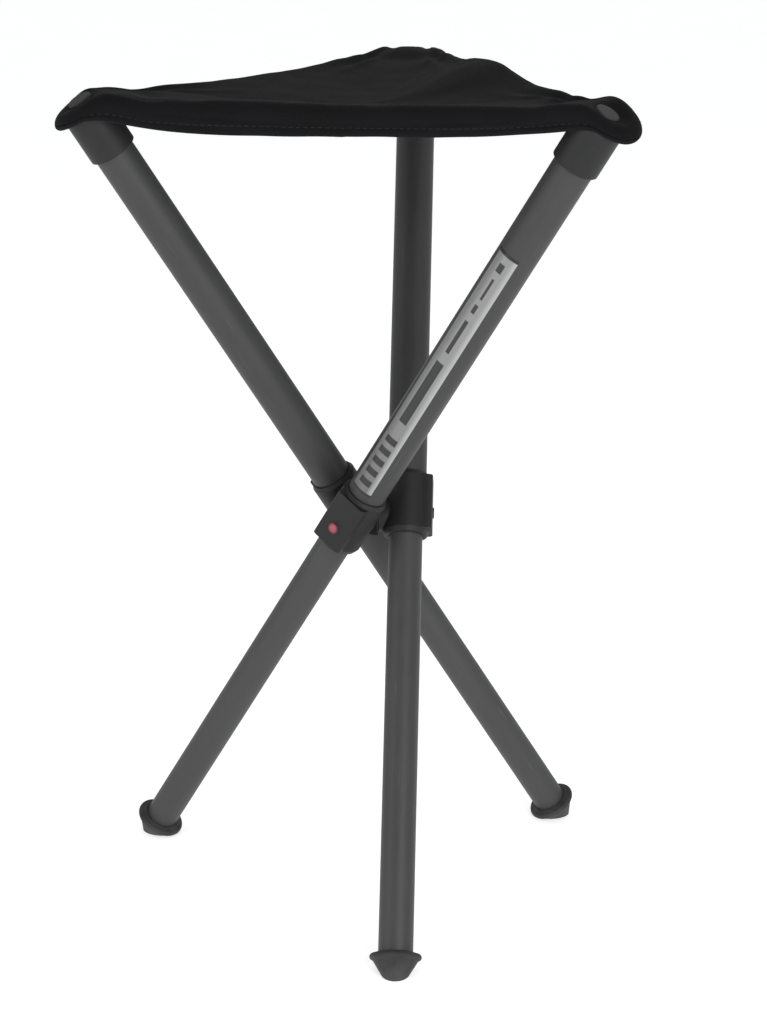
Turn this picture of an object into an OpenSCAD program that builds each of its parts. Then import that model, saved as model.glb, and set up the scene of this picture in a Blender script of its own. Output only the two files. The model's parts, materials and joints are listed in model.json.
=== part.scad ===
// Folding three leg stool. Three telescopic legs cross at one hub and carry a triangular fabric seat.
// Each leg leans sideways past the hub. Turning it by the lean angle about its hub pin stands it upright.
// Inside a leg, z runs up the leg from the hub pin's height and +x points away from the hub.

/* [Stance] */
// Lean of each open leg from upright, in degrees
lean = 33.3; // [28:0.1:36]
// Distance from the stool's middle line to each leg's middle line
leg_offset = 22.9; // [22.8:0.1:27]
// Length along a leg from the hub pin down to the floor
foot_reach = 278.5; // [250:0.5:320]
// Length along a leg from the hub pin up to the top of the tube
tube_top = 300; // [285:1:330]

/* [Tubes] */
// Outside diameter of the upper tube
upper_d = 23.8; // [23.2:0.1:24]
// Wall thickness of the upper tube
upper_wall = 1.4; // [1.2:0.1:1.5]
// Outside diameter of the sliding lower tube
lower_d = 20.4; // [20:0.1:20.4]
// Wall thickness of the lower tube
lower_wall = 1.2; // [1:0.1:1.4]
// Length of lower tube that stays inside the upper tube when the leg is out
overlap = 45; // [42:1:60]

/* [Lock] */
// Diameter of the release button
button_d = 8; // [6:0.5:9]
// Travel of the release button
button_travel = 1.6; // [1.2:0.1:1.6]

/* [Seat] */
// Distance from a leg's middle line to the line where the seat panels hinge
hinge_reach = 20.5; // [20.5:0.5:24]
// Height of the seat's middle above the floor
seat_middle_z = 481; // [470:1:490]
// Height of the middle of each seat edge above the floor
seat_edge_z = 492; // [484:1:496]
// Distance from the stool's middle line to the middle of a seat edge
seat_edge_reach = 88; // [80:1:92]
// Distance along a seat edge from its middle to the crease where it folds
crease_shift = 11; // [0:0.5:12]
// Depth of the hem that hangs from a seat edge
hem_depth = 15; // [8:1:18]
// Thickness of the seat fabric with its lining
fabric_t = 1.6; // [1:0.1:2.5]

/* [Hidden] */
$fn = 64;

// Turn of each leg about the stool's middle line
LEG_A = -120;
LEG_B = 120;
LEG_C = 0;
LEGS = [LEG_A, LEG_B, LEG_C];

// Tubes
upper_r = upper_d / 2;
upper_bore = upper_r - upper_wall;
lower_r = lower_d / 2;
lower_bore = lower_r - lower_wall;
upper_end = -11;            // bottom of the upper tube, inside the collar
lower_end = 8.5 - foot_reach; // bottom of the lower tube, inside the foot
fit_gap = 0.05;             // running gap between parts that slide or turn
fixed_gap = 0.1;            // gap between parts that are fixed to each other
joined = 0.02;              // how far two shapes of one part run into each other

// Lock: the button sits on the outward side of the collar and pushes the spring's nose in
button_s = 1;               // height of the button and the nose along the leg
button_r = button_d / 2;
nose_r = 3;
nose_tip = upper_r - fixed_gap; // outward end of the spring's nose
stem_back = upper_r + fixed_gap; // inward end of the button's stem
head_back = stem_back + button_travel; // inward side of the button's head
tube_hole_r = nose_r + 0.3;

// Collar and hub
collar_r = 14.2;
collar_face = 16;           // outward flat face, from the leg's middle line
collar_low = -14;
collar_high = 25;
boss_r = 10.5;
boss_face = 16.4;           // inward face, from the leg's middle line
pin_r = 4;
pin_head_r = 6.4;
pin_head_face = 13.5;
pin_end = 3;                // from the stool's middle line
hub_face = leg_offset - boss_face - fixed_gap; // from the stool's middle line
hub_height = 21;

// Cap, rivet and fabric pocket at the top of a leg
cap_r = 14;
cap_low = 274;
cap_top = tube_top + 6;
pocket_r = 19.5;
pocket_edge = 9.2;          // radius of the pocket's rounded rim
pocket_mid = cap_top - 7.4; // height of the pocket's rim along the leg
rivet_r = 7;
rivet_shank_r = 2.4;

// Foot: a cone under a round rimmed shoulder, which the tube's end is let into
flange_edge = 2;            // radius of the shoulder's rounded rim
flange_r = 15.2;
flange_s = -foot_reach + ((flange_r - flange_edge) * sin(lean) + flange_edge) / cos(lean);
foot_top = flange_s + flange_edge + 0.8; // where the shoulder meets the tube

// The frame's origin is on the floor under the middle of the stool's bounding box
pivot_z = foot_reach * cos(lean);
function leg_up(leg) = [-sin(leg) * sin(lean), cos(leg) * sin(lean), cos(lean)];
function leg_point(leg, s) = [cos(leg) * leg_offset, sin(leg) * leg_offset, pivot_z] + s * leg_up(leg);
// How far a round rim reaches along a direction: ring radius r, rounded by e, centred s up the leg
function rim_reach(leg, s, r, e, dir) =
    leg_point(leg, s) * dir + (r - e) * sqrt(1 - pow(leg_up(leg) * dir, 2)) + e;
function reach(dir) = max([for (leg = LEGS) max(
    rim_reach(leg, pocket_mid, pocket_r, pocket_edge, dir),
    rim_reach(leg, flange_s, flange_r, flange_edge, dir))]);
axis_x = (reach([-1, 0, 0]) - reach([1, 0, 0])) / 2;
axis_y = (reach([0, -1, 0]) - reach([0, 1, 0])) / 2;

// Puts a leg's own frame in place
module on_leg(leg)
    translate([axis_x, axis_y, pivot_z])
        rotate([0, 0, leg])
            translate([leg_offset, 0, 0])
                rotate([-lean, 0, 0])
                    children();

// A tube from low to high along z
module tube(low, high, r, bore)
    translate([0, 0, low])
        difference() {
            cylinder(h = high - low, r = r);
            translate([0, 0, -1]) cylinder(h = high - low + 2, r = bore);
        }

// A round bar along +x from one distance to another, at height s
module x_bar(from, to, r, s = 0)
    translate([from, 0, s]) rotate([0, 90, 0]) cylinder(h = to - from, r = r);

module upper_tube(leg)
    color([0.27, 0.27, 0.28]) on_leg(leg)
        difference() {
            tube(upper_end, tube_top, upper_r, upper_bore);
            x_bar(upper_bore - 2, upper_r + 2, tube_hole_r, button_s);
        }

module lower_tube(leg)
    color([0.31, 0.31, 0.32]) on_leg(leg)
        difference() {
            tube(lower_end, overlap, lower_r, lower_bore);
            x_bar(lower_bore - 2, lower_r + 2, tube_hole_r, button_s);
        }

// Plastic bush plugged into the lower tube's top, which guides it in the upper tube
module guide_bush(leg) {
    skirt = 7;
    rim = 5;
    opening_r = 6;
    color([0.12, 0.12, 0.12]) on_leg(leg) {
        tube(overlap - skirt, overlap + 1, lower_bore - fit_gap, opening_r);
        tube(overlap + joined, overlap + rim, upper_bore - fit_gap, opening_r);
    }
}

// Outline of the collar across the leg: a ring with a flat, round cornered outward side
module collar_outline() {
    half = 10.6;
    corner = 3;
    circle(r = collar_r);
    translate([0, -half + corner]) square([collar_face, 2 * (half - corner)]);
    translate([0, -half]) square([collar_face - corner, 2 * half]);
    for (side = [-1, 1])
        translate([collar_face - corner, side * (half - corner)]) circle(r = corner);
}

// Collar at the foot of the upper tube, with the boss that turns on the hub pin
module joint_collar(leg) {
    chin = 3;
    brow = 2.4;
    chamfer = 1.3;
    ledge = upper_end - fixed_gap; // the upper tube stands on it
    color([0.15, 0.15, 0.15]) on_leg(leg)
        difference() {
            union() {
                translate([0, 0, collar_low + chin])
                    linear_extrude(collar_high - collar_low - chin - brow) collar_outline();
                translate([0, 0, collar_low]) cylinder(h = chin, r1 = collar_r - chamfer, r2 = collar_r);
                translate([0, 0, collar_high - brow])
                    cylinder(h = brow, r1 = collar_r, r2 = collar_r - chamfer);
                x_bar(-boss_face, 0, boss_r);
            }
            translate([0, 0, ledge]) cylinder(h = collar_high - ledge + 1, r = upper_r + fit_gap);
            translate([0, 0, collar_low - 1]) cylinder(h = ledge - collar_low + 2, r = lower_r + fixed_gap);
            x_bar(-boss_face - 1, 0, pin_r + fit_gap);
            x_bar(-pin_head_face - fit_gap, 0, pin_head_r + fixed_gap);
            x_bar(0, collar_face + 1, button_r + fixed_gap, button_s);
        }
}

// Headed pin that joins a collar to the hub. It is fixed in the hub and the collar turns on it
module hub_pin(leg)
    color([0.6, 0.6, 0.62]) rotate_flat(leg) {
        x_bar(pin_end - leg_offset, joined - pin_head_face, pin_r);
        x_bar(-pin_head_face, -upper_r - 2 * fixed_gap, pin_head_r);
    }

// Puts a part in a leg's place without the lean, because it stays with the hub
module rotate_flat(leg)
    translate([axis_x, axis_y, pivot_z])
        rotate([0, 0, leg])
            translate([leg_offset, 0, 0])
                children();

// Three sided hub between the collars
module hub() {
    corner_reach = 12.2;
    hole_start = 2.6;
    color([0.13, 0.13, 0.13]) translate([axis_x, axis_y, pivot_z])
        difference() {
            intersection() {
                translate([0, 0, -hub_height / 2])
                    rotate([0, 0, 60]) cylinder(h = hub_height, r = 2 * hub_face, $fn = 3);
                translate([0, 0, -hub_height / 2]) cylinder(h = hub_height, r = corner_reach);
            }
            for (leg = LEGS)
                rotate([0, 0, leg]) x_bar(hole_start, corner_reach + 1, pin_r + joined);
        }
}

// Button: a head with a stepped rim, and a stem that reaches through the upper tube to the spring
module release_button(leg) {
    proud = 0.9;
    step = 0.7;
    color([0.7, 0.09, 0.16]) on_leg(leg) {
        x_bar(stem_back, head_back + step, nose_r, button_s);
        x_bar(head_back, collar_face + proud - step, button_r, button_s);
        x_bar(collar_face, collar_face + proud, button_r - step, button_s);
    }
}

// Bent leaf spring inside the lower tube, with the nose that locks the two tubes together
module snap_spring(leg) {
    out = 8.2;
    leaf = 0.8;
    wide = 6;
    bend = button_s + 24;
    tail = 6;
    taper = 0.5;            // length of the nose's narrowing end, which stays inside the tube's surface
    color([0.65, 0.66, 0.68]) on_leg(leg) {
        rotate([90, 0, 0]) linear_extrude(wide, center = true) {
            difference() {
                translate([0, bend]) circle(r = out);
                translate([0, bend]) circle(r = out - leaf);
                translate([-2 * out, bend - 2 * out]) square([4 * out, 2 * out]);
            }
            for (side = [0, 1])
                mirror([side, 0]) translate([out - leaf, button_s - tail])
                    square([leaf, bend - button_s + tail]);
        }
        x_bar(out - leaf / 2, nose_tip - taper, nose_r, button_s);
        translate([nose_tip - taper, 0, button_s])
            rotate([0, 90, 0]) cylinder(h = taper, r1 = nose_r, r2 = nose_r / 2);
    }
}

// Rubber foot: a shoulder round the tube's end, a plug inside it and a cone cut flat by the floor
module foot(leg) {
    cone = 17;      // length of the cone below the shoulder
    cone_end_r = 4;
    cone_top_r = flange_r - 0.6;
    rim_r = lower_r + 0.9;  // where the shoulder meets the tube
    plug = 18;
    ring_r = flange_r - flange_edge;
    shoulder_s = flange_s + flange_edge - joined;
    floor_box = 2 * foot_reach;
    color([0.2, 0.2, 0.2]) intersection() {
        on_leg(leg) {
            difference() {
                union() {
                    translate([0, 0, flange_s - flange_edge]) cylinder(h = 2 * flange_edge, r = ring_r);
                    translate([0, 0, flange_s]) rotate_extrude()
                        translate([ring_r, 0]) circle(r = flange_edge);
                    translate([0, 0, shoulder_s])
                        cylinder(h = foot_top - shoulder_s, r1 = ring_r, r2 = rim_r);
                    translate([0, 0, flange_s - cone])
                        cylinder(h = cone, r1 = cone_end_r, r2 = cone_top_r);
                }
                translate([0, 0, lower_end]) cylinder(h = foot_reach, r = lower_r + joined);
            }
            translate([0, 0, lower_end - 1]) cylinder(h = plug, r = lower_bore - fixed_gap);
        }
        translate([-floor_box, -floor_box, 0]) cube([2 * floor_box, 2 * floor_box, foot_reach]);
    }
}

// Plastic cap: a sleeve over the tube's top, a round shouldered head and a plug inside the tube
module top_cap(leg) {
    shoulder = 6;
    plug = 14;      // length of the plug inside the tube
    head = cap_top - shoulder;
    color([0.14, 0.14, 0.14]) on_leg(leg)
        difference() {
            union() {
                translate([0, 0, cap_low]) cylinder(h = head - cap_low, r = cap_r);
                translate([0, 0, head]) cylinder(h = shoulder, r = cap_r - shoulder);
                translate([0, 0, head]) rotate_extrude()
                    translate([cap_r - shoulder, 0]) intersection() {
                        circle(r = shoulder);
                        square(shoulder);
                    }
            }
            difference() {
                translate([0, 0, cap_low - 1]) cylinder(h = tube_top + 1.1 - cap_low, r = upper_r + fit_gap);
                translate([0, 0, tube_top - plug]) cylinder(h = plug + 1, r = upper_bore - fixed_gap);
            }
            translate([0, 0, tube_top - plug - 1])
                cylinder(h = cap_top - tube_top + plug + 2, r = rivet_shank_r + fixed_gap);
        }
}

// Low domed rivet that clamps the pocket to the cap
module seat_rivet(leg) {
    grip = 14;
    head_s = cap_top + 1.9; // the head lies on the pocket
    head_t = 1.8;
    edge = 0.8;
    color([0.26, 0.26, 0.26]) on_leg(leg) {
        translate([0, 0, head_s - grip]) cylinder(h = grip + joined, r = rivet_shank_r);
        translate([0, 0, head_s]) cylinder(h = head_t, r = rivet_r - edge);
        translate([0, 0, head_s]) cylinder(h = head_t - edge, r = rivet_r);
        translate([0, 0, head_s + head_t - edge]) rotate_extrude()
            translate([rivet_r - edge, 0]) circle(r = edge, $fn = 32);
    }
}

// Round nosed fabric pocket over the cap
module seat_pocket(leg) {
    color([0.13, 0.13, 0.14]) on_leg(leg)
        difference() {
            union() {
                translate([0, 0, pocket_mid]) rotate_extrude()
                    translate([pocket_r - pocket_edge, 0]) circle(r = pocket_edge);
                translate([0, 0, pocket_mid - pocket_edge])
                    cylinder(h = 2 * pocket_edge, r = pocket_r - pocket_edge);
            }
            translate([0, 0, cap_low]) cylinder(h = cap_top + fixed_gap - cap_low, r = cap_r + fixed_gap);
            translate([0, 0, cap_top - 1]) cylinder(h = pocket_edge, r = rivet_shank_r + fixed_gap);
        }
}

// Height of the seat panels' hinge above the top of the tube, along the leg
hinge_rise = 1;

// Seat panels. Each corner has two, which meet on the line from the hinge point to the seat's middle.
// These points are measured from the stool's middle line
function unit(v) = v / norm(v);
function between(p, q, share) = p + share * (q - p);
function hinge_point(leg) = leg_point(leg, tube_top + hinge_rise)
    + hinge_reach * [sin(leg) * cos(lean), -cos(leg) * cos(lean), sin(lean)];
// The crease point on the edge between a corner and the next one anticlockwise
function crease_point(leg) =
    let (here = hinge_point(leg),
         next = hinge_point(leg + 120),
         mid = between(here, next, 0.5),
         out = unit([mid[0], mid[1], 0]))
    seat_edge_reach * out + [0, 0, seat_edge_z] + crease_shift * unit(next - here);

// Axes of the plane through three points: x from p to q, y on r's side of that line, z across
function plane_axes(p, q, r) =
    let (x = unit(q - p), z = unit(cross(x, r - p)))
    [x, cross(z, x), z];

// Puts children, drawn flat, in the plane through three points
module in_plane(p, q, r) {
    a = plane_axes(p, q, r);
    multmatrix([for (i = [0:2]) [a[0][i], a[1][i], a[2][i], p[i]]])
        translate([0, 0, -fabric_t / 2]) linear_extrude(fabric_t) children();
}

// Half of a seat corner, between the seat's middle, the hinge point, the pocket's side and the crease
module seat_panel(leg, crease) {
    inset = 0.985;          // leaves a seam gap to the next panels
    shoulder = [-2, 17];    // the pocket's side, from the hinge point
    hem_share = [0.3, 0.97]; // where the hem starts and ends along the outer edge
    middle = [0, 0, seat_middle_z];
    hinge = hinge_point(leg);
    a = plane_axes(hinge, middle, crease);
    side = hinge + shoulder[0] * a[0] + shoulder[1] * a[1];
    corners = [hinge, middle, crease, side];
    centre = (hinge + middle + crease + side) / 4;
    inner = [for (p = corners) between(centre, p, inset)];
    hem_start = between(inner[3], inner[2], hem_share[0]);
    hem_end = between(inner[3], inner[2], hem_share[1]);
    color([0.11, 0.11, 0.12]) translate([axis_x, axis_y, 0]) {
        in_plane(hinge, middle, crease)
            polygon([for (p = inner) [(p - hinge) * a[0], (p - hinge) * a[1]]]);
        in_plane(hem_start, hem_end, hem_start - [0, 0, 1])
            square([norm(hem_end - hem_start), hem_depth]);
    }
}
module seat_panel_left(leg) seat_panel(leg, crease_point(leg));
module seat_panel_right(leg) seat_panel(leg, crease_point(leg - 120));

// Printed size strip wrapped on the outward side of one upper tube
module size_label(leg) {
    low = 30;
    high = 211;
    arc = 76;
    turn = -4;  // of the strip's middle from the leg's outward side
    film = 0.25;
    color([0.7, 0.7, 0.71]) on_leg(leg)
        translate([0, 0, low]) rotate([0, 0, turn - arc / 2]) rotate_extrude(angle = arc)
            translate([upper_r + joined, 0]) square([film, high - low]);
}

hub();
size_label(LEG_A);
upper_tube(LEG_A);  // upper_tube_a
upper_tube(LEG_B);  // upper_tube_b
upper_tube(LEG_C);  // upper_tube_c
lower_tube(LEG_A);  // lower_tube_a
lower_tube(LEG_B);  // lower_tube_b
lower_tube(LEG_C);  // lower_tube_c
guide_bush(LEG_A);  // guide_bush_a
guide_bush(LEG_B);  // guide_bush_b
guide_bush(LEG_C);  // guide_bush_c
joint_collar(LEG_A);  // joint_collar_a
joint_collar(LEG_B);  // joint_collar_b
joint_collar(LEG_C);  // joint_collar_c
hub_pin(LEG_A);  // hub_pin_a
hub_pin(LEG_B);  // hub_pin_b
hub_pin(LEG_C);  // hub_pin_c
release_button(LEG_A);  // release_button_a
release_button(LEG_B);  // release_button_b
release_button(LEG_C);  // release_button_c
snap_spring(LEG_A);  // snap_spring_a
snap_spring(LEG_B);  // snap_spring_b
snap_spring(LEG_C);  // snap_spring_c
foot(LEG_A);  // foot_a
foot(LEG_B);  // foot_b
foot(LEG_C);  // foot_c
top_cap(LEG_A);  // top_cap_a
top_cap(LEG_B);  // top_cap_b
top_cap(LEG_C);  // top_cap_c
seat_rivet(LEG_A);  // seat_rivet_a
seat_rivet(LEG_B);  // seat_rivet_b
seat_rivet(LEG_C);  // seat_rivet_c
seat_pocket(LEG_A);  // seat_pocket_a
seat_pocket(LEG_B);  // seat_pocket_b
seat_pocket(LEG_C);  // seat_pocket_c
seat_panel_left(LEG_A);  // seat_panel_a_left
seat_panel_left(LEG_B);  // seat_panel_b_left
seat_panel_left(LEG_C);  // seat_panel_c_left
seat_panel_right(LEG_A);  // seat_panel_a_right
seat_panel_right(LEG_B);  // seat_panel_b_right
seat_panel_right(LEG_C);  // seat_panel_c_right
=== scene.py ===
"""Looks for the folding three leg stool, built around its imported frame. Metres, +Z up."""
import json
import math

import bpy
import numpy as np
from mathutils import Matrix, Vector, noise


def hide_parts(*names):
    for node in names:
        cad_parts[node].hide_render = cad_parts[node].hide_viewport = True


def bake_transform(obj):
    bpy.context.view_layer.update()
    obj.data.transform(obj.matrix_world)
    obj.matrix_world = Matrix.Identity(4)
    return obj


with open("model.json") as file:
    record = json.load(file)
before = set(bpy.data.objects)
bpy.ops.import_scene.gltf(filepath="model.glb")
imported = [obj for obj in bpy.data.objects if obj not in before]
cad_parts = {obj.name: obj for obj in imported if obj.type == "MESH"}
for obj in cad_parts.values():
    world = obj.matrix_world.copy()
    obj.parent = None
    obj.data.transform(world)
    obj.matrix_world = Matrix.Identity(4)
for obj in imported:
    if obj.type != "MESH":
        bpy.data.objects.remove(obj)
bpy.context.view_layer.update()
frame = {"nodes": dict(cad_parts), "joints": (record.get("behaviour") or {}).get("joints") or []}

MM = 0.001
CORNERS = "abc"
JOINTS = {joint["name"]: joint for joint in frame["joints"]}


# ---------------------------------------------------------------- frames of the legs
def leg_matrix(corner):
    """A leg's own frame at rest: x away from the hub, z up the leg, origin at the hub pin's height."""
    fold = JOINTS["fold_" + corner]
    x = Vector(fold["axis"])
    z = Vector(JOINTS["slide_" + corner]["axis"])
    turned = Matrix((x, z.cross(x), z)).transposed().to_4x4()
    turned.translation = Vector(fold["pos_m"])
    return turned


LEG = {corner: leg_matrix(corner) for corner in CORNERS}
AXIS = sum((LEG[c].translation for c in CORNERS), Vector()) / 3
AXIS.z = 0.0


def leg_span(node, corner):
    """Lowest and highest distance of a node's points along its leg."""
    inverse = LEG[corner].inverted()
    heights = [(inverse @ v.co).z for v in frame["nodes"][node].data.vertices]
    return min(heights), max(heights)


CAP_TOP = leg_span("top_cap_c", "c")[1]


# ---------------------------------------------------------------- material helpers
NOISE_LOW, NOISE_HIGH = 0.3, 0.7


class Nodes:
    """Short calls for building one procedural material."""

    def __init__(self, name):
        self.material = bpy.data.materials.new(name)
        self.material.use_nodes = True
        self.tree = self.material.node_tree
        self.shader = self.tree.nodes["Principled BSDF"]

    def add(self, kind, **settings):
        node = self.tree.nodes.new("ShaderNode" + kind)
        for key, value in settings.items():
            setattr(node, key, value)
        return node

    def link(self, source, target):
        self.tree.links.new(source, target)

    def fill(self, socket, value):
        """Sets a socket from a number, a colour, a vector or another node's output."""
        if isinstance(value, bpy.types.NodeSocket):
            self.link(value, socket)
        else:
            socket.default_value = value

    def math(self, operation, a, b=0.0):
        node = self.add("Math", operation=operation)
        for socket, value in zip(node.inputs, (a, b)):
            self.fill(socket, value)
        return node.outputs[0]

    def times(self, a, b):
        return self.math("MULTIPLY", a, b)

    def length(self, a, b):
        """Distance from the origin in the plane of two coordinates."""
        return self.math("SQRT", self.math("ADD", self.math("POWER", a, 2.0), self.math("POWER", b, 2.0)))

    def dot(self, vector, axis):
        node = self.add("VectorMath", operation="DOT_PRODUCT")
        self.link(vector, node.inputs[0])
        node.inputs[1].default_value = axis
        return node.outputs["Value"]

    def object_place(self):
        return self.add("TexCoord").outputs["Object"]

    def leg_place(self, corner):
        """A point's place in its leg's own frame, as a vector of metres."""
        matrix = LEG[corner]
        shift = self.add("VectorMath", operation="SUBTRACT")
        self.link(self.object_place(), shift.inputs[0])
        shift.inputs[1].default_value = matrix.translation
        joined = self.add("CombineXYZ")
        for index in range(3):
            axis = [matrix[row][index] for row in range(3)]
            self.link(self.dot(shift.outputs[0], axis), joined.inputs[index])
        return joined.outputs[0]

    def parts(self, vector):
        """The three numbers in a vector."""
        node = self.add("SeparateXYZ")
        self.link(vector, node.inputs[0])
        return node.outputs

    def scaled(self, vector, scale):
        node = self.add("VectorMath", operation="MULTIPLY")
        self.link(vector, node.inputs[0])
        node.inputs[1].default_value = scale
        return node.outputs[0]

    def noise(self, vector, scale, detail=4.0, roughness=0.55):
        node = self.add("TexNoise")
        self.link(vector, node.inputs["Vector"])
        node.inputs["Scale"].default_value = scale
        node.inputs["Detail"].default_value = detail
        node.inputs["Roughness"].default_value = roughness
        return node.outputs["Fac"]

    def ramp(self, value, low, high, to_low=0.0, to_high=1.0):
        node = self.add("MapRange", clamp=True)
        for socket, number in zip(node.inputs, (value, low, high, to_low, to_high)):
            self.fill(socket, number)
        return node.outputs[0]

    def spread(self, cloud, to_low=0.0, to_high=1.0):
        """Stretches noise, which seldom leaves its middle range, over the whole of a wanted range."""
        return self.ramp(cloud, NOISE_LOW, NOISE_HIGH, to_low, to_high)

    def mix(self, share, first, second):
        """Blends two colours. The Mix node's colour sockets are numbers 6 and 7, and its output 2."""
        node = self.add("Mix", data_type="RGBA")
        self.fill(node.inputs[0], share)
        self.fill(node.inputs[6], first)
        self.fill(node.inputs[7], second)
        return node.outputs[2]

    def bump(self, height, depth, strength=1.0, normal=None):
        node = self.add("Bump")
        node.inputs["Strength"].default_value = strength
        node.inputs["Distance"].default_value = depth
        self.link(height, node.inputs["Height"])
        if normal is not None:
            self.link(normal, node.inputs["Normal"])
        return node.outputs[0]

    def round_edges(self, radius):
        node = self.add("Bevel", samples=6)
        node.inputs["Radius"].default_value = radius
        return node.outputs[0]

    def edge_wear(self, radius, place):
        """1 along sharp edges, broken up by noise, and 0 on flats."""
        rounded = self.round_edges(radius)
        true_normal = self.add("NewGeometry").outputs["Normal"]
        node = self.add("VectorMath", operation="DOT_PRODUCT")
        self.link(rounded, node.inputs[0])
        self.link(true_normal, node.inputs[1])
        edge = self.ramp(node.outputs["Value"], 0.99, 0.82)
        patch = self.ramp(self.noise(place, 260.0), 0.42, 0.62)
        return self.times(edge, patch)

    def finish(self, colour, roughness, normal=None, **others):
        self.fill(self.shader.inputs["Base Color"], colour)
        self.fill(self.shader.inputs["Roughness"], roughness)
        if normal is not None:
            self.link(normal, self.shader.inputs["Normal"])
        for name, value in others.items():
            self.fill(self.shader.inputs[name.replace("_", " ")], value)
        return self.material


def grey(value, tint=(1.0, 1.0, 1.0)):
    return (value * tint[0], value * tint[1], value * tint[2], 1.0)


# ---------------------------------------------------------------- materials
def anodised_tube(name, corner, tone, rubbed):
    """Dark anodised aluminium with fine draw lines along the leg and a few rub marks."""
    n = Nodes(name)
    place = n.leg_place(corner)
    lines = n.noise(n.scaled(place, (1.0, 1.0, 0.02)), 2600.0, 3.0)
    cloud = n.noise(n.scaled(place, (1.0, 1.0, 0.35)), 38.0, 5.0)
    scratch = n.ramp(n.noise(n.scaled(place, (1.0, 1.0, 0.06)), 420.0, 2.0, 0.4), 0.69, 0.74)
    scratch = n.times(scratch, rubbed)
    base = n.mix(n.spread(cloud), grey(tone * 0.9), grey(tone * 1.1, (1.0, 1.0, 1.03)))
    base = n.mix(n.times(n.ramp(lines, 0.35, 0.65), 0.25), base, grey(tone * 1.35))
    base = n.mix(scratch, base, grey(tone * 2.2))
    rough = n.math("ADD", n.spread(lines, 0.46, 0.56), n.spread(cloud, -0.04, 0.05))
    normal = n.bump(lines, 0.00004, 0.35, n.round_edges(0.0003))
    return n.finish(base, rough, normal, Metallic=0.3, Specular_IOR_Level=0.35)


def moulded_plastic(name, corner, tone, wear=0.35):
    """Black moulded nylon with a fine spark texture, faint flow marks and paler edges."""
    n = Nodes(name)
    place = n.leg_place(corner)
    grain = n.noise(place, 1900.0, 3.0, 0.6)
    flow = n.noise(n.scaled(place, (1.0, 1.0, 0.4)), 60.0, 4.0)
    base = n.mix(n.spread(flow), grey(tone * 0.85, (1.0, 1.02, 1.0)), grey(tone * 1.2, (1.0, 1.01, 0.99)))
    worn = n.times(n.edge_wear(0.0007, place), wear)
    base = n.mix(worn, base, grey(tone * 3.2))
    rough = n.spread(grain, 0.46, 0.58)
    normal = n.bump(grain, 0.00006, 0.5, n.round_edges(0.0006))
    return n.finish(base, rough, normal, Specular_IOR_Level=0.3)


def rubber(name, corner):
    """Black rubber, matt, dusty low down and scuffed along the lip."""
    n = Nodes(name)
    place = n.leg_place(corner)
    world = n.object_place()
    height = n.dot(world, (0.0, 0.0, 1.0))
    pores = n.noise(place, 1300.0, 4.0, 0.65)
    blotch = n.noise(place, 120.0, 5.0)
    base = n.mix(n.spread(blotch), grey(0.016), grey(0.028))
    dust = n.times(n.ramp(height, 0.016, 0.0), n.ramp(blotch, 0.35, 0.7, 0.15, 0.8))
    base = n.mix(n.times(dust, 0.25), base, grey(0.14, (1.05, 1.0, 0.93)))
    base = n.mix(n.times(n.edge_wear(0.0008, place), 0.4), base, grey(0.11))
    rough = n.spread(pores, 0.62, 0.8)
    return n.finish(base, rough, n.bump(pores, 0.0001, 0.5, n.round_edges(0.0008)))


def steel(name, corner):
    """Plain turned or rolled steel with fine lines round it."""
    n = Nodes(name)
    place = n.leg_place(corner)
    lines = n.noise(n.scaled(place, (6.0, 0.4, 0.4)), 700.0, 3.0)
    spots = n.noise(place, 240.0, 4.0)
    base = n.mix(n.spread(spots), grey(0.42), grey(0.58, (1.0, 1.0, 1.02)))
    rough = n.spread(lines, 0.24, 0.38)
    return n.finish(base, rough, n.bump(lines, 0.00003, 0.4), Metallic=1.0)


def red_button(name, corner):
    """Red moulded button, with painted shade in a ring round its edge, where it sinks into the collar."""
    n = Nodes(name)
    place = n.leg_place(corner)
    _, across, along = n.parts(place)
    radius = n.length(across, n.math("SUBTRACT", along, BUTTON_S))
    # Painted shade: outside this radius the button is coloured dark red, as if shaded in the collar's
    # recess.
    ring = n.ramp(radius, 0.0018, 0.0032)
    cloud = n.noise(place, 500.0, 4.0)
    dome = n.mix(n.spread(cloud), (0.27, 0.035, 0.055, 1.0), (0.36, 0.065, 0.09, 1.0))
    base = n.mix(ring, dome, (0.045, 0.004, 0.008, 1.0))
    rough = n.spread(cloud, 0.28, 0.4)
    return n.finish(base, rough, n.bump(cloud, 0.00004, 0.4, n.round_edges(0.0005)))


def rivet_finish(name, corner):
    """Dark grey satin disc with faint turning rings."""
    n = Nodes(name)
    place = n.leg_place(corner)
    outward, across, _ = n.parts(place)
    rings = n.math("SINE", n.times(n.length(outward, across), 9000.0))
    cloud = n.noise(place, 300.0, 4.0)
    base = n.mix(n.spread(cloud), grey(0.022), grey(0.034))
    base = n.mix(n.times(n.edge_wear(0.0005, place), 0.5), base, grey(0.09))
    rough = n.spread(cloud, 0.5, 0.62)
    normal = n.bump(rings, 0.00002, 0.3, n.round_edges(0.0004))
    return n.finish(base, rough, normal, Specular_IOR_Level=0.3)


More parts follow.
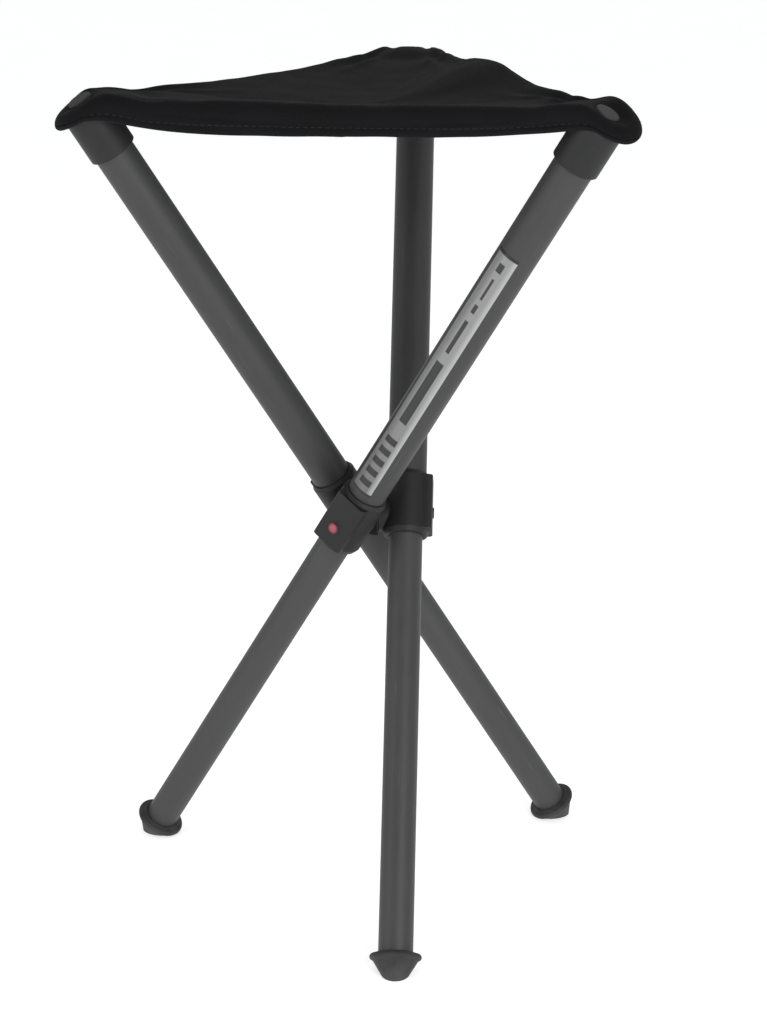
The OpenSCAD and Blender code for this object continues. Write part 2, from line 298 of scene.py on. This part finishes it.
def seat_cloth(name):
    """Black plain woven polyester: a fine weave from the cloth's own coordinates, with painted highlight
    on its raised threads, fuzz and faint wear.
    """
    tone = 0.0054
    pitch = 0.00105
    bluish = (0.98, 0.98, 1.12)
    n = Nodes(name)
    uv = n.add("UVMap", uv_map="cloth").outputs[0]
    across, along = [n.times(value, math.pi / pitch) for value in n.parts(uv)[:2]]
    weft = n.math("ABSOLUTE", n.math("SINE", across))
    warp = n.math("ABSOLUTE", n.math("SINE", along))
    which = n.times(n.math("SINE", n.times(across, 0.5)), n.math("SINE", n.times(along, 0.5)))
    over = n.ramp(which, -0.12, 0.12)
    height = n.math("ADD", n.times(weft, over), n.times(warp, n.math("SUBTRACT", 1.0, over)))
    slub = n.noise(n.scaled(uv, (1.0, 14.0, 1.0)), 90.0, 3.0)
    patch = n.noise(uv, 22.0, 5.0)
    fuzz = n.noise(uv, 3200.0, 2.0, 0.7)
    base = n.mix(n.spread(patch), grey(tone * 0.85), grey(tone * 1.25, bluish))
    # Painted highlight: the weave's raised threads are coloured lighter, and the hollows between them
    # keep a painted shade.
    base = n.mix(n.times(n.ramp(height, 0.2, 1.0), 0.45), base, grey(tone * 2.1, bluish))
    base = n.mix(n.times(n.ramp(slub, 0.55, 0.72), 0.25), base, grey(tone * 1.9))
    rough = n.spread(fuzz, 0.78, 0.92)
    normal = n.bump(height, 0.00022, 0.55)
    normal = n.bump(fuzz, 0.00006, 0.5, normal)
    return n.finish(base, rough, normal, Sheen_Weight=0.02, Sheen_Roughness=0.5, Specular_IOR_Level=0.06)


def thread(name):
    """Twisted black sewing thread."""
    n = Nodes(name)
    twist = n.noise(n.object_place(), 2500.0, 2.0)
    base = n.mix(n.spread(twist), grey(0.009), grey(0.018))
    rough = n.spread(twist, 0.6, 0.8)
    return n.finish(base, rough, n.bump(twist, 0.00008, 0.6), Specular_IOR_Level=0.2)


def label_film(name, corner):
    """Silver film with a dark border, a painted sheen that grades along it and brightens towards one
    edge, and a row of plain bars and blocks.
    """
    n = Nodes(name)
    place = n.leg_place(corner)
    _, sideways, up = n.parts(place)
    along = n.ramp(up, *leg_span("size_label", corner))
    half = max(abs((LEG[corner].inverted() @ v.co).y) for v in frame["nodes"]["size_label"].data.vertices)
    across = n.ramp(sideways, -half, half)

    def band(value, start, end, soft=0.002):
        """1 between start and end."""
        return n.times(n.ramp(value, start, start + soft), n.ramp(value, end, end - soft))

    def block(start, end, left, right):
        return n.times(band(along, start, end), band(across, left, right, 0.02))

    # Start and end along the strip, then the two sides across it, as shares of the strip.
    blocks = [(0.03 + 0.045 * i, 0.056 + 0.045 * i, 0.22, 0.74) for i in range(5)]
    blocks += [(0.30, 0.56, 0.30, 0.66)]
    blocks += [(0.60, 0.735, 0.40, 0.58), (0.765, 0.80, 0.40, 0.58), (0.82, 0.905, 0.44, 0.56)]
    blocks += [(0.93, 0.965, 0.36, 0.62)]
    ink = block(*blocks[0])
    for shape in blocks[1:]:
        ink = n.math("MAXIMUM", ink, block(*shape))
    brushed = n.noise(n.scaled(place, (1.0, 1.0, 0.05)), 1800.0, 3.0)
    # Painted reflection: the film is coloured lighter up the strip and towards one edge; brush streaks
    # are mixed in on top.
    painted_sheen = n.mix(n.ramp(along, 0.0, 0.45), grey(0.11), grey(0.22))
    painted_sheen = n.mix(n.ramp(across, 0.72, 0.95), painted_sheen, grey(0.42))
    painted_sheen = n.mix(n.times(n.ramp(brushed, 0.35, 0.65), 0.2), painted_sheen, grey(0.32))
    base = n.mix(ink, painted_sheen, grey(0.02))
    inner = n.times(band(along, 0.008, 0.992), band(across, 0.05, 0.95, 0.02))
    base = n.mix(inner, grey(0.012), base)
    rough = n.spread(brushed, 0.3, 0.42)
    return n.finish(base, rough, n.bump(brushed, 0.00002, 0.3), Metallic=0.2, Coat_Weight=0.12)


# ---------------------------------------------------------------- finish the carried-over parts
BUTTON_S = sum(leg_span("release_button_c", "c")) / 2


def paint(node, material):
    """Gives a part that keeps its own shape its finish."""
    target = frame["nodes"][node]
    target.data.materials.clear()
    target.data.materials.append(material)


for c in CORNERS:
    paint("upper_tube_" + c, anodised_tube("upper_tube_finish_" + c, c, 0.048, 0.2))
    paint("lower_tube_" + c, anodised_tube("lower_tube_finish_" + c, c, 0.056, 0.35))
    collar_finish = moulded_plastic("collar_finish_" + c, c, 0.012)
    for part in ("joint_collar_", "guide_bush_"):
        paint(part + c, collar_finish)
    paint("top_cap_" + c, moulded_plastic("cap_finish_" + c, c, 0.012, 0.25))
    paint("foot_" + c, rubber("rubber_finish_" + c, c))
    steel_finish = steel("steel_finish_" + c, c)
    paint("hub_pin_" + c, steel_finish)
    paint("snap_spring_" + c, steel_finish)
    paint("release_button_" + c, red_button("button_finish_" + c, c))
    paint("seat_rivet_" + c, rivet_finish("rivet_finish_" + c, c))
paint("hub", moulded_plastic("hub_finish", "c", 0.011, 0.2))
paint("size_label", label_film("label_finish", "a"))


# ---------------------------------------------------------------- seat cloth
# Places here are metres from the stool's middle line. What the three corners share is worked out at
# corner C: a point near another corner is turned to C first.
THIRD = math.radians(120)
UP_C = np.array(LEG["c"].col[2])[:3]
ORIGIN_C = np.array(LEG["c"].translation - AXIS)
NOSE_R = 20 * MM             # radius of the seat's rounded corner, in plan
NOSE_SHIFT = 4 * MM          # how far round the corner sits from its cap
EDGE_REACH = 88.5 * MM       # from the middle line to the middle of an edge
EDGE_Z = 493.5 * MM          # rim height at the middle of an edge
CORNER_Z = 494.5 * MM        # rim height beside a corner
MIDDLE_Z = 481.5 * MM        # height of the seat's middle
CLOTH_T = 1.4 * MM           # thickness of the cloth
HEM_Z = 482 * MM             # height of the hem's lower edge beside a corner
HEM_DROOP = 8 * MM           # how much lower it hangs between corners
HEM_TIP = 2 * MM             # how much lower it hangs at a corner's tip
SIDE_SLACK = 10 * MM         # extra height of the long side that stands loose
CORNER_SLACK = 2.2 * MM      # extra height beside corner A's disc
CORNER_OUT = 2.6 * MM        # how far corner A's rim stands out
FLANK_DROP = 2.6 * MM        # how much lower the cloth lies at the flanks of corner C
DISC_CLEAR = 8 * MM          # round a rivet's disc, where the cloth lies flat on the cap
TURN_R = 7.5 * MM            # radius of the turn from the top to the hem's side
CURL_R = 2.4 * MM            # radius of the hem's lower edge
BLEND_OUT = 3 * MM           # outward of the hinge, where the cloth would start to leave its leg
BLEND_IN = 20 * MM           # inward of the hinge, where it would move with its seat panel alone
ROUND = 432                  # points round the rim
FAN_RINGS = 44               # rings from the middle to where the cloth turns down
TURN_STEPS = 8               # rings over the turn
SIDE_STEPS = 8               # rings down the hem's side
CURL_STEPS = 6               # rings round the hem's lower edge
HEM_INSIDE = 4 * MM          # how far the cloth goes back up inside the hem
STITCH_SHARE = 0.62          # how far down the hem's side its seam runs
STITCH = 2.6 * MM            # length of one stitch
STITCH_GAP = 1.5 * MM        # and of the gap after it
# Rolls along the hem near each corner, in millimetres: height, distance from the rim, half width,
# distance of the roll's middle from the corner, half length and how much it wanders.
ROLLS = (
    (1.5, 12, 5.5, 44, 30, 1.0),
    (-1.5, 24, 7.5, 52, 32, 1.0),
    (0.9, 37, 7.0, 66, 30, 1.4),
)


def rotate_plan(points, angle):
    """Turns points about the middle line."""
    turned = points.copy()
    turned[..., 0] = points[..., 0] * math.cos(angle) - points[..., 1] * math.sin(angle)
    turned[..., 1] = points[..., 0] * math.sin(angle) + points[..., 1] * math.cos(angle)
    return turned


def on_leg_c(s):
    """A point on leg C's middle line, at a distance up from the hub pin's height."""
    return ORIGIN_C + UP_C * s


# At corner C: the cap's head, the centre of the seat's rounded corner, the rivet's disc and the
# hinges of the seat panels. Then the disc and the rounded corner at A.
CAP_C = on_leg_c(CAP_TOP - 5 * MM)
CAP_AZ = math.atan2(CAP_C[1], CAP_C[0])
NOSE = CAP_C + NOSE_SHIFT * np.array([-math.sin(CAP_AZ), math.cos(CAP_AZ), 0.0])
NOSE_AZ = math.atan2(NOSE[1], NOSE[0])
NOSE_REACH = math.hypot(NOSE[0], NOSE[1])
DISC = on_leg_c(CAP_TOP + 1.9 * MM)
HINGE = np.array(JOINTS["seat_fold_c_left"]["pos_m"]) - np.array(AXIS)
HINGE_REACH = math.hypot(HINGE[0], HINGE[1])
DISC_A = rotate_plan(DISC, -THIRD)
NOSE_A = rotate_plan(NOSE, -THIRD)[:2]
SLACK_AZ = CAP_AZ - math.radians(50)      # middle of the long side that stands loose
LOOSE_AZ = CAP_AZ - THIRD + math.radians(42)
LOOSE_WAY = np.array([math.cos(LOOSE_AZ), math.sin(LOOSE_AZ)])   # way in which corner A stands out


def distance(x, y, place):
    """Plan distance from a place."""
    return np.hypot(x - place[0], y - place[1])


def arc(centre, start, end, count):
    """Points along one rounded corner."""
    angles = np.linspace(start, end, count)
    return [centre + NOSE_R * np.array([math.cos(a), math.sin(a)]) for a in angles]


def smooth_step(value):
    """From 0 to 1, level at both ends."""
    value = np.clip(value, 0.0, 1.0)
    return value * value * (3 - 2 * value)


def hill(value, centre, width):
    """A smooth bump of height 1."""
    return np.exp(-(((value - centre) / width) ** 2))


def even_out(values, times):
    """Averages values with their neighbours round the rim."""
    for _ in range(times):
        values = (np.roll(values, 1, axis=0) + 2 * values + np.roll(values, -1, axis=0)) / 4
    return values


def rim_plan():
    """Plan of the whole rim, anticlockwise from the tip of corner C, with a third per corner."""
    edge_az = NOSE_AZ + THIRD / 2
    out = np.array([math.cos(edge_az), math.sin(edge_az)])
    along = np.array([-out[1], out[0]])
    half = NOSE_REACH * math.sin(THIRD / 2)
    flare = NOSE_REACH * math.cos(THIRD / 2) + NOSE_R - EDGE_REACH
    tuck = math.radians(9)   # how far each corner's arc stops short of the edge
    kept = 0.93              # share of the edge that is kept between the two arcs
    arc_points, edge_points = 24, 80
    shares = np.linspace(-kept, kept, edge_points)
    edge = [out * (EDGE_REACH + flare * f * f) + along * half * f for f in shares]
    far_centre = rotate_plan(NOSE[:2], THIRD)
    line = arc(NOSE[:2], NOSE_AZ, edge_az - tuck, arc_points) + edge
    line = np.array(line + arc(far_centre, edge_az + tuck, NOSE_AZ + THIRD, arc_points))
    along_line = np.concatenate([[0.0], np.cumsum(np.hypot(*np.diff(line, axis=0).T))])
    places = np.linspace(0.0, along_line[-1], ROUND // 3 + 1)
    third = np.stack([np.interp(places, along_line, line[:, i]) for i in range(2)], axis=1)[:-1]
    whole = np.concatenate([rotate_plan(third, THIRD * k) for k in range(3)])
    whole = even_out(whole, 14)
    pulled = hill(distance(*whole.T, NOSE_A), 0, 24 * MM)[:, None]
    return whole + CORNER_OUT * pulled * LOOSE_WAY


RIM = rim_plan()
RIM_AZ = np.unwrap(np.arctan2(RIM[:, 1], RIM[:, 0]))
RIM_RADIUS = np.hypot(RIM[:, 0], RIM[:, 1])
RIM_TANGENT = np.roll(RIM, -1, axis=0) - np.roll(RIM, 1, axis=0)
RIM_OUT = np.stack([RIM_TANGENT[:, 1], -RIM_TANGENT[:, 0]], axis=1)
RIM_OUT /= np.linalg.norm(RIM_OUT, axis=1, keepdims=True)


def rim_radius(azimuth):
    """Distance of the rim from the middle line."""
    return np.interp(azimuth, RIM_AZ, RIM_RADIUS, period=2 * math.pi)


def smooth_min(a, b, width):
    """The lower of two heights, rounded off where they cross."""
    h = np.clip(0.5 + 0.5 * (b - a) / width, 0.0, 1.0)
    return b * (1 - h) + a * h - width * h * (1 - h)


def cloud(x, y, scale, layer):
    """Smooth noise over the plan, a different one for each layer."""
    points = zip(np.ravel(x), np.ravel(y))
    found = [noise.noise(Vector((px * scale, py * scale, layer))) for px, py in points]
    return np.reshape(found, np.shape(x))


def steps(count):
    """Equal shares up to 1."""
    return [k / count for k in range(1, count + 1)]


def to_corner(x, y):
    """Turns plan points into the frame of the nearest corner, as if that corner were C."""
    turn = np.round((np.arctan2(y, x) - NOSE_AZ) / THIRD) * THIRD
    c, s = np.cos(-turn), np.sin(-turn)
    return x * c - y * s, x * s + y * c


def slack(x, y):
    """Extra height where the cloth stands loose, on one long side and on the outer rim of corner A,
    and less height at the flanks of corner C."""
    azimuth = np.arctan2(y, x)
    inset = rim_radius(azimuth) - np.hypot(x, y)
    side = hill(azimuth, SLACK_AZ, math.radians(33)) * hill(inset, 0, 45 * MM)
    bulge = DISC_A[:2] + 17 * MM * LOOSE_WAY
    corner = hill(distance(x, y, bulge), 0, 11 * MM)
    off_disc = smooth_step((distance(x, y, DISC_A) - DISC_CLEAR) / (8 * MM))
    off_line = abs(y * math.cos(NOSE_AZ) - x * math.sin(NOSE_AZ))
    flanks = hill(distance(x, y, NOSE), 0, 26 * MM) * smooth_step((off_line - 3 * MM) / (10 * MM))
    return SIDE_SLACK * side + CORNER_SLACK * corner * off_disc - FLANK_DROP * flanks


def sheet_z(x, y):
    """Height of the cloth's top: a shallow dish that turns down over the cap's head at each corner."""
    cx, cy = to_corner(x, y)
    rim = rim_radius(np.arctan2(y, x))
    radius = np.hypot(cx, cy)
    across = np.maximum(np.cos(np.arctan2(cy, cx) - NOSE_AZ), 0.3)
    end = np.minimum(rim, HINGE_REACH / across)
    share = np.clip((rim - EDGE_REACH) / (HINGE_REACH - EDGE_REACH), 0.0, 1.0)
    end_z = EDGE_Z + (CORNER_Z - EDGE_Z) * share
    flat = 0.38              # how level the dish's middle is
    rise = (np.sqrt((radius / end) ** 2 + flat**2) - flat) / (math.sqrt(1 + flat**2) - flat)
    dish = MIDDLE_Z + (end_z - MIDDLE_Z) * rise
    # Near a corner the cloth follows a plane square to the leg, over the cap's head.
    lean_out = (cx - DISC[0]) * UP_C[0] + (cy - DISC[1]) * UP_C[1]
    puff = 2.6 * MM * smooth_step((distance(cx, cy, DISC) - DISC_CLEAR) / (9 * MM))
    head = DISC[2] - lean_out / UP_C[2] + 0.3 * MM + puff
    from_cap = distance(cx, cy, CAP_C)
    crown = 0.9 * hill(from_cap, 21 * MM, 8 * MM) - 1.0 * hill(from_cap, 38 * MM, 9 * MM)
    return smooth_min(dish, head, 5 * MM) + slack(x, y) + crown * MM


def folds(x, y):
    """Pulls that run out of each corner, slack rolls behind the hem and slow unevenness."""
    cx, cy = to_corner(x, y)
    azimuth = np.arctan2(cy, cx) - NOSE_AZ
    inset = rim_radius(np.arctan2(y, x)) - np.hypot(x, y)
    from_nose = distance(cx, cy, NOSE)
    wander = 5 * MM * cloud(x, y, 24.0, 4.4)
    strength = 1.0 + 0.8 * cloud(x, y, 9.0, 8.2)
    fan = np.cos(np.hypot(azimuth, 0.1) * 33.0 + wander / (1.6 * MM))
    waves = 0.6 * fan * hill(from_nose, 40 * MM, 24 * MM) * np.clip(inset / (9 * MM), 0.0, 1.0)
    for height, behind, half_width, out, half_length, wandering in ROLLS:
        line = hill(inset + wandering * wander, behind * MM, half_width * MM)
        waves = waves + height * line * hill(from_nose, out * MM, half_length * MM)
    slow = 1.1 * cloud(x, y, 22.0, 3.7) + 0.45 * cloud(x, y, 58.0, 9.1)
    calm = np.clip(np.hypot(x, y) / (30 * MM), 0.0, 1.0) * np.clip(from_nose / (24 * MM), 0.2, 1.0)
    return MM * (waves * strength + slow * calm)


def hem_low(points):
    """Height of the hem's lower edge under rim points: it droops between corners."""
    x, y = points.T
    cx, cy = to_corner(x, y)
    ahead = np.arctan2(cy, cx) > NOSE_AZ
    past_nose = np.maximum(distance(cx, cy, NOSE) - NOSE_R, 0.0)
    droops_over = np.where(ahead, 32 * MM, 60 * MM)
    droop = np.tanh(past_nose / droops_over)
    tip = np.clip((np.hypot(cx, cy) - NOSE_REACH) / NOSE_R, 0.0, 1.0)
    uneven = 0.7 * MM * cloud(x, y, 34.0, 1.3)
    lifted = 1.6 * MM * hill(distance(x, y, NOSE_A), 0, 26 * MM)
    return HEM_Z - HEM_DROOP * droop - HEM_TIP * tip + uneven + lifted


def turn_start():
    """Slope angle of the cloth's top where it starts to turn down, all round the rim."""
    probe = 1.0 * MM
    inner = RIM - RIM_OUT * TURN_R
    ahead = inner + RIM_OUT * probe
    slope = (sheet_z(*inner.T) - sheet_z(*ahead.T)) / probe
    return even_out(np.arctan(np.clip(slope, -0.15, 0.8)), 20)


def cloth_surface():
    """Outer face of the whole seat cloth: points [ring, place round the rim, xyz], the cloth's own
    flat coordinates, and the ring numbers where the hem's side begins and ends."""
    start = turn_start()
    inner = RIM - RIM_OUT * (TURN_R * (1 - np.sin(start)))[:, None]
    shares = np.linspace(0.0, 1.0, FAN_RINGS + 1)[:, None] ** 0.92     # a little denser near the rim
    x, y = shares * inner[:, 0], shares * inner[:, 1]
    rings = list(np.stack([x, y, sheet_z(x, y) + folds(x, y)], axis=2))
    flat = list(np.stack([x, y], axis=2))
    travelled = np.zeros(ROUND)

    def push(out, z):
        """Adds the next ring, at a distance outward of the rim."""
        nonlocal travelled
        ring = np.column_stack([RIM + RIM_OUT * out[:, None], z])
        travelled = travelled + np.linalg.norm(ring - rings[-1], axis=1)
        rings.append(ring)
        flat.append(inner + RIM_OUT * travelled[:, None])

    top = rings[-1][:, 2]
    for share in steps(TURN_STEPS):
        angle = start + (math.pi / 2 - start) * share
        push(TURN_R * (np.sin(angle) - 1), top + TURN_R * (np.cos(angle) - np.cos(start)))
    side_start = len(rings) - 1
    side_top = rings[-1][:, 2]
    side_low = np.minimum(hem_low(RIM) + CURL_R, side_top - 0.5 * MM)
    pucker = cloud(*RIM.T, 60.0, 5.5)
    from_nose = distance(*to_corner(*RIM.T), NOSE)
    for share in steps(SIDE_STEPS):
        groove = 0.4 * hill(share, STITCH_SHARE, 0.10)
        ridge_place = (from_nose - 25 * MM) / (95 * MM)     # it slants down away from the corner
        ridge = 1.6 * hill(share, ridge_place, 0.28) * hill(from_nose, 70 * MM, 38 * MM)
        out = (0.8 * pucker - 0.8 + ridge) * math.sin(math.pi * share) - groove
        push(out * MM, side_top + (side_low - side_top) * share)
    side_end = len(rings) - 1
    for share in steps(CURL_STEPS):
        angle = math.radians(175) * share
        push(np.full(ROUND, CURL_R * (math.cos(angle) - 1)), side_low - CURL_R * math.sin(angle))
    push(np.full(ROUND, -2 * CURL_R), side_low + HEM_INSIDE)
    return np.array(rings), np.array(flat), side_start, side_end


def surface_normals(points):
    """Normals of the closed grid, outward, so that neighbouring pieces share them exactly."""
    round_way = np.roll(points, -1, axis=1) - np.roll(points, 1, axis=1)
    outward = np.gradient(points, axis=0)
    outward[0] = outward[1]
    round_way[0] = round_way[1]
    normals = np.cross(outward, round_way)
    normals /= np.linalg.norm(normals, axis=2, keepdims=True)
    normals[0] = normals[1].mean(axis=0)
    return normals


SURFACE, FLAT, SIDE_START, SIDE_END = cloth_surface()
NORMALS = surface_normals(SURFACE)
INNER = SURFACE - NORMALS * CLOTH_T


def add_mesh(name, verts, faces, uvs=None):
    """A new piece, with one flat coordinate for each of its points if those are given."""
    mesh = bpy.data.meshes.new(name)
    mesh.from_pydata([tuple(v) for v in verts], [], faces)
    if uvs is not None:
        layer = mesh.uv_layers.new(name="cloth")
        for loop in mesh.loops:
            layer.data[loop.index].uv = uvs[loop.vertex_index]
    mesh.update()
    piece = bpy.data.objects.new(name, mesh)
    bpy.context.scene.collection.objects.link(piece)
    return piece


def smooth(piece):
    for polygon in piece.data.polygons:
        polygon.use_smooth = True


def fan_faces(rings, count):
    """Faces of a fan of rings round one middle point, which is point 0."""
    faces = [(0, 1 + i, 2 + i) for i in range(count - 1)]
    for ring in range(rings - 2):
        base = 1 + ring * count
        corners = (base, base + count, base + count + 1, base + 1)
        faces += [tuple(corner + i for corner in corners) for i in range(count - 1)]
    return faces


def cloth_piece(name, columns):
    """The seat cloth between two places round the rim, as a closed sheet."""
    count, rings = len(columns), len(SURFACE)
    layers, normals = [], []
    for face, sign in ((SURFACE, 1.0), (INNER, -1.0)):
        layers += [face[0, :1], face[1:, columns].reshape(-1, 3)]
        normals += [sign * NORMALS[0, :1], sign * NORMALS[1:, columns].reshape(-1, 3)]
    verts = np.vstack(layers) + np.array(AXIS)
    normals = np.vstack(normals)
    flat = np.vstack([FLAT[0, :1], FLAT[1:, columns].reshape(-1, 2)])
    sheet = len(verts) // 2     # number of the inner face's first point
    outer = fan_faces(rings, count)
    inner = [tuple(sheet + i for i in reversed(face)) for face in outer]
    first = [0] + [1 + ring * count for ring in range(rings - 1)]
    last = [0] + [ring * count for ring in range(1, rings)]
    hem = list(range(1 + (rings - 2) * count, 1 + (rings - 1) * count))
    walls = [(b, a, sheet + a, sheet + b) for a, b in zip(first, first[1:])]
    walls += [(a, b, sheet + b, sheet + a) for a, b in zip(last, last[1:])]
    walls += [(b, a, sheet + a, sheet + b) for a, b in zip(hem, hem[1:])]
    piece = add_mesh(name, verts, outer + inner + walls, np.vstack([flat, flat]))
    mesh = piece.data
    smooth(piece)
    shading = []
    for polygon in mesh.polygons:
        wall = polygon.index >= len(outer) + len(inner)
        for index in polygon.vertices:
            shading.append(tuple(polygon.normal if wall else normals[index]))
    mesh.normals_split_custom_set(shading)
    return piece


def panel_edge(node):
    """Azimuth, from the middle line, of the crease side of a left seat panel."""
    verts = np.array([v.co for v in frame["nodes"][node].data.vertices]) - np.array(AXIS)
    far = np.hypot(verts[:, 0], verts[:, 1]) > 0.9 * EDGE_REACH
    azimuth = np.arctan2(verts[far, 1], verts[far, 0])
    beyond_nose = (azimuth - NOSE_AZ + math.pi) % (2 * math.pi) - math.pi
    return float(beyond_nose.max()) + NOSE_AZ


CLOTH = seat_cloth("seat_cloth_finish")
THREAD = thread("thread_finish")
CREASE_AZ = panel_edge("seat_panel_c_left")


def piece_columns(side, turn):
    """Places round the rim that one piece covers. A left piece runs from its corner's tip to the
    crease, and a right piece runs from the crease before its corner to the tip."""
    third = ROUND // 3
    crease = int(np.argmin(np.abs(RIM_AZ[:third] - CREASE_AZ)))
    first, last = (0, crease) if side == "left" else (crease - third, 0)
    return [(turn * third + i) % ROUND for i in range(first, last + 1)]


def blend_points(turn):
    """Points outward and inward of the hinge where the cloth would stop following its leg and start
    following its seat panel. They are not used to move the cloth.
    """
    toward = np.array([-math.cos(CAP_AZ), -math.sin(CAP_AZ), 0.0])
    ends = (HINGE - toward * BLEND_OUT, HINGE + toward * BLEND_IN)
    return [tuple(rotate_plan(p, THIRD * turn) + np.array(AXIS)) for p in ends]


def follow_cloth(piece, turn):
    """Bakes a piece's placing into its mesh. Its blend points are worked out but not used."""
    start, end = blend_points(turn)
    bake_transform(piece)


def stitches(name, columns, ring):
    """A row of short rounded threads along one ring of the cloth."""
    path, out = SURFACE[ring, columns], NORMALS[ring, columns]
    travel = np.concatenate([[0.0], np.cumsum(np.linalg.norm(np.diff(path, axis=0), axis=1))])
    sides = 6
    bends = (0.0, 0.12, 0.5, 0.88, 1.0)     # shares of a stitch's length
    arch, sunk = 0.42 * MM, 0.12 * MM       # rise of its middle, and depth of its ends in the cloth
    half_high, half_wide = 0.2 * MM, 0.28 * MM
    verts, faces = [], []

    def along_row(values, at):
        return np.array([np.interp(at, travel, values[:, i]) for i in range(3)])

    for place in np.arange(STITCH_GAP / 2, travel[-1] - STITCH, STITCH + STITCH_GAP):
        base = len(verts)
        for bend in bends:
            at = place + bend * STITCH
            centre, normal = along_row(path, at), along_row(out, at)
            ahead = along_row(path, at + 0.2 * MM) - centre
            sideways = np.cross(normal, ahead / np.linalg.norm(ahead))
            lift = arch * math.sin(math.pi * bend) - sunk
            for k in range(sides):
                angle = 2 * math.pi * k / sides
                raised = normal * (lift + half_high * math.cos(angle))
                verts.append(centre + raised + sideways * half_wide * math.sin(angle) + np.array(AXIS))
        last = base + (len(bends) - 1) * sides
        for ring_start in range(base, last, sides):
            for k in range(sides):
                here, beside = ring_start + k, ring_start + (k + 1) % sides
                faces.append((here, beside, beside + sides, here + sides))
        faces.append(tuple(base + k for k in reversed(range(sides))))
        faces.append(tuple(last + k for k in range(sides)))
    piece = add_mesh(name, verts, faces)
    smooth(piece)
    return piece


STITCH_RING = SIDE_START + round(STITCH_SHARE * (SIDE_END - SIDE_START))
# Each corner with the number of thirds of a turn from C to it.
for c, turn in (("c", 0), ("b", 1), ("a", 2)):
    for side in ("left", "right"):
        columns = piece_columns(side, turn)
        cloth = cloth_piece(f"seat_cloth_{c}_{side}", columns)
        cloth.data.materials.append(CLOTH)
        nodes = [f"seat_panel_{c}_{side}"]
        if side == "left":
            nodes.append("seat_pocket_" + c)
        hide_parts(*nodes)
        follow_cloth(cloth, turn)
        seam = stitches(f"hem_stitching_{c}_{side}", columns, STITCH_RING)
        seam.data.materials.append(THREAD)
        follow_cloth(seam, turn)


# ---------------------------------------------------------------- stage, light and camera
def stage_floor():
    """A plain pale floor that glows a little, so that it meets the backdrop without an edge."""
    size = 6.0
    floor = add_mesh(
        "floor",
        [(-size, -size, 0), (size, -size, 0), (size, size, 0), (-size, size, 0)],
        [(0, 1, 2, 3)],
    )
    n = Nodes("floor_finish")
    cloud = n.noise(n.object_place(), 6.0)
    base = n.mix(n.spread(cloud), grey(0.86), grey(0.88))
    floor.data.materials.append(n.finish(base, 0.7, Emission_Color=grey(1.0), Emission_Strength=0.56))


def soft_light(name, place, target, size, power):
    """A rectangular light that faces its target."""
    data = bpy.data.lights.new(name, "AREA")
    data.shape = "RECTANGLE"
    data.size, data.size_y = size
    data.energy = power
    lamp = bpy.data.objects.new(name, data)
    lamp.location = place
    lamp.rotation_euler = (Vector(target) - Vector(place)).to_track_quat("-Z", "Y").to_euler()
    bpy.context.scene.collection.objects.link(lamp)


def studio():
    """Three soft lights, and a world that lights the stool softly but is plain white to the camera."""
    world = bpy.data.worlds.new("studio")
    world.use_nodes = True
    tree = world.node_tree
    lighting = tree.nodes["Background"]
    lighting.inputs[0].default_value = (0.97, 0.98, 1.0, 1.0)
    lighting.inputs[1].default_value = 0.5
    backdrop = tree.nodes.new("ShaderNodeBackground")
    backdrop.inputs[0].default_value = (1.0, 1.0, 1.0, 1.0)
    seen = tree.nodes.new("ShaderNodeLightPath")
    either = tree.nodes.new("ShaderNodeMixShader")
    tree.links.new(seen.outputs["Is Camera Ray"], either.inputs[0])
    tree.links.new(lighting.outputs[0], either.inputs[1])
    tree.links.new(backdrop.outputs[0], either.inputs[2])
    tree.links.new(either.outputs[0], tree.nodes["World Output"].inputs[0])
    bpy.context.scene.world = world
    middle = (AXIS.x, AXIS.y, 0.25)
    soft_light("key", (0.9, -1.7, 0.75), middle, (1.1, 1.1), 18.5)
    soft_light("fill", (-1.5, -1.0, 0.7), middle, (1.2, 1.2), 7.0)
    soft_light("back", (0.3, 1.6, 1.3), middle, (1.4, 0.8), 2.5)


def photo_camera():
    """Camera at the photograph's viewing angle, placed from the stool's middle line."""
    data = bpy.data.cameras.new("camera")
    data.sensor_width = 36.0
    data.lens = 95.47
    camera = bpy.data.objects.new("camera", data)
    camera.location = AXIS + Vector((0.0826, -1.5785, 0.6958))
    down = math.radians(16.29)
    heading = Vector((-0.0465, 0.9989, 0.0)).normalized() * math.cos(down)
    look = heading - Vector((0.0, 0.0, math.sin(down)))
    camera.rotation_euler = look.to_track_quat("-Z", "Y").to_euler()
    bpy.context.scene.collection.objects.link(camera)
    bpy.context.scene.camera = camera


stage_floor()
studio()
photo_camera()
bpy.context.scene.view_settings.view_transform = "Standard"
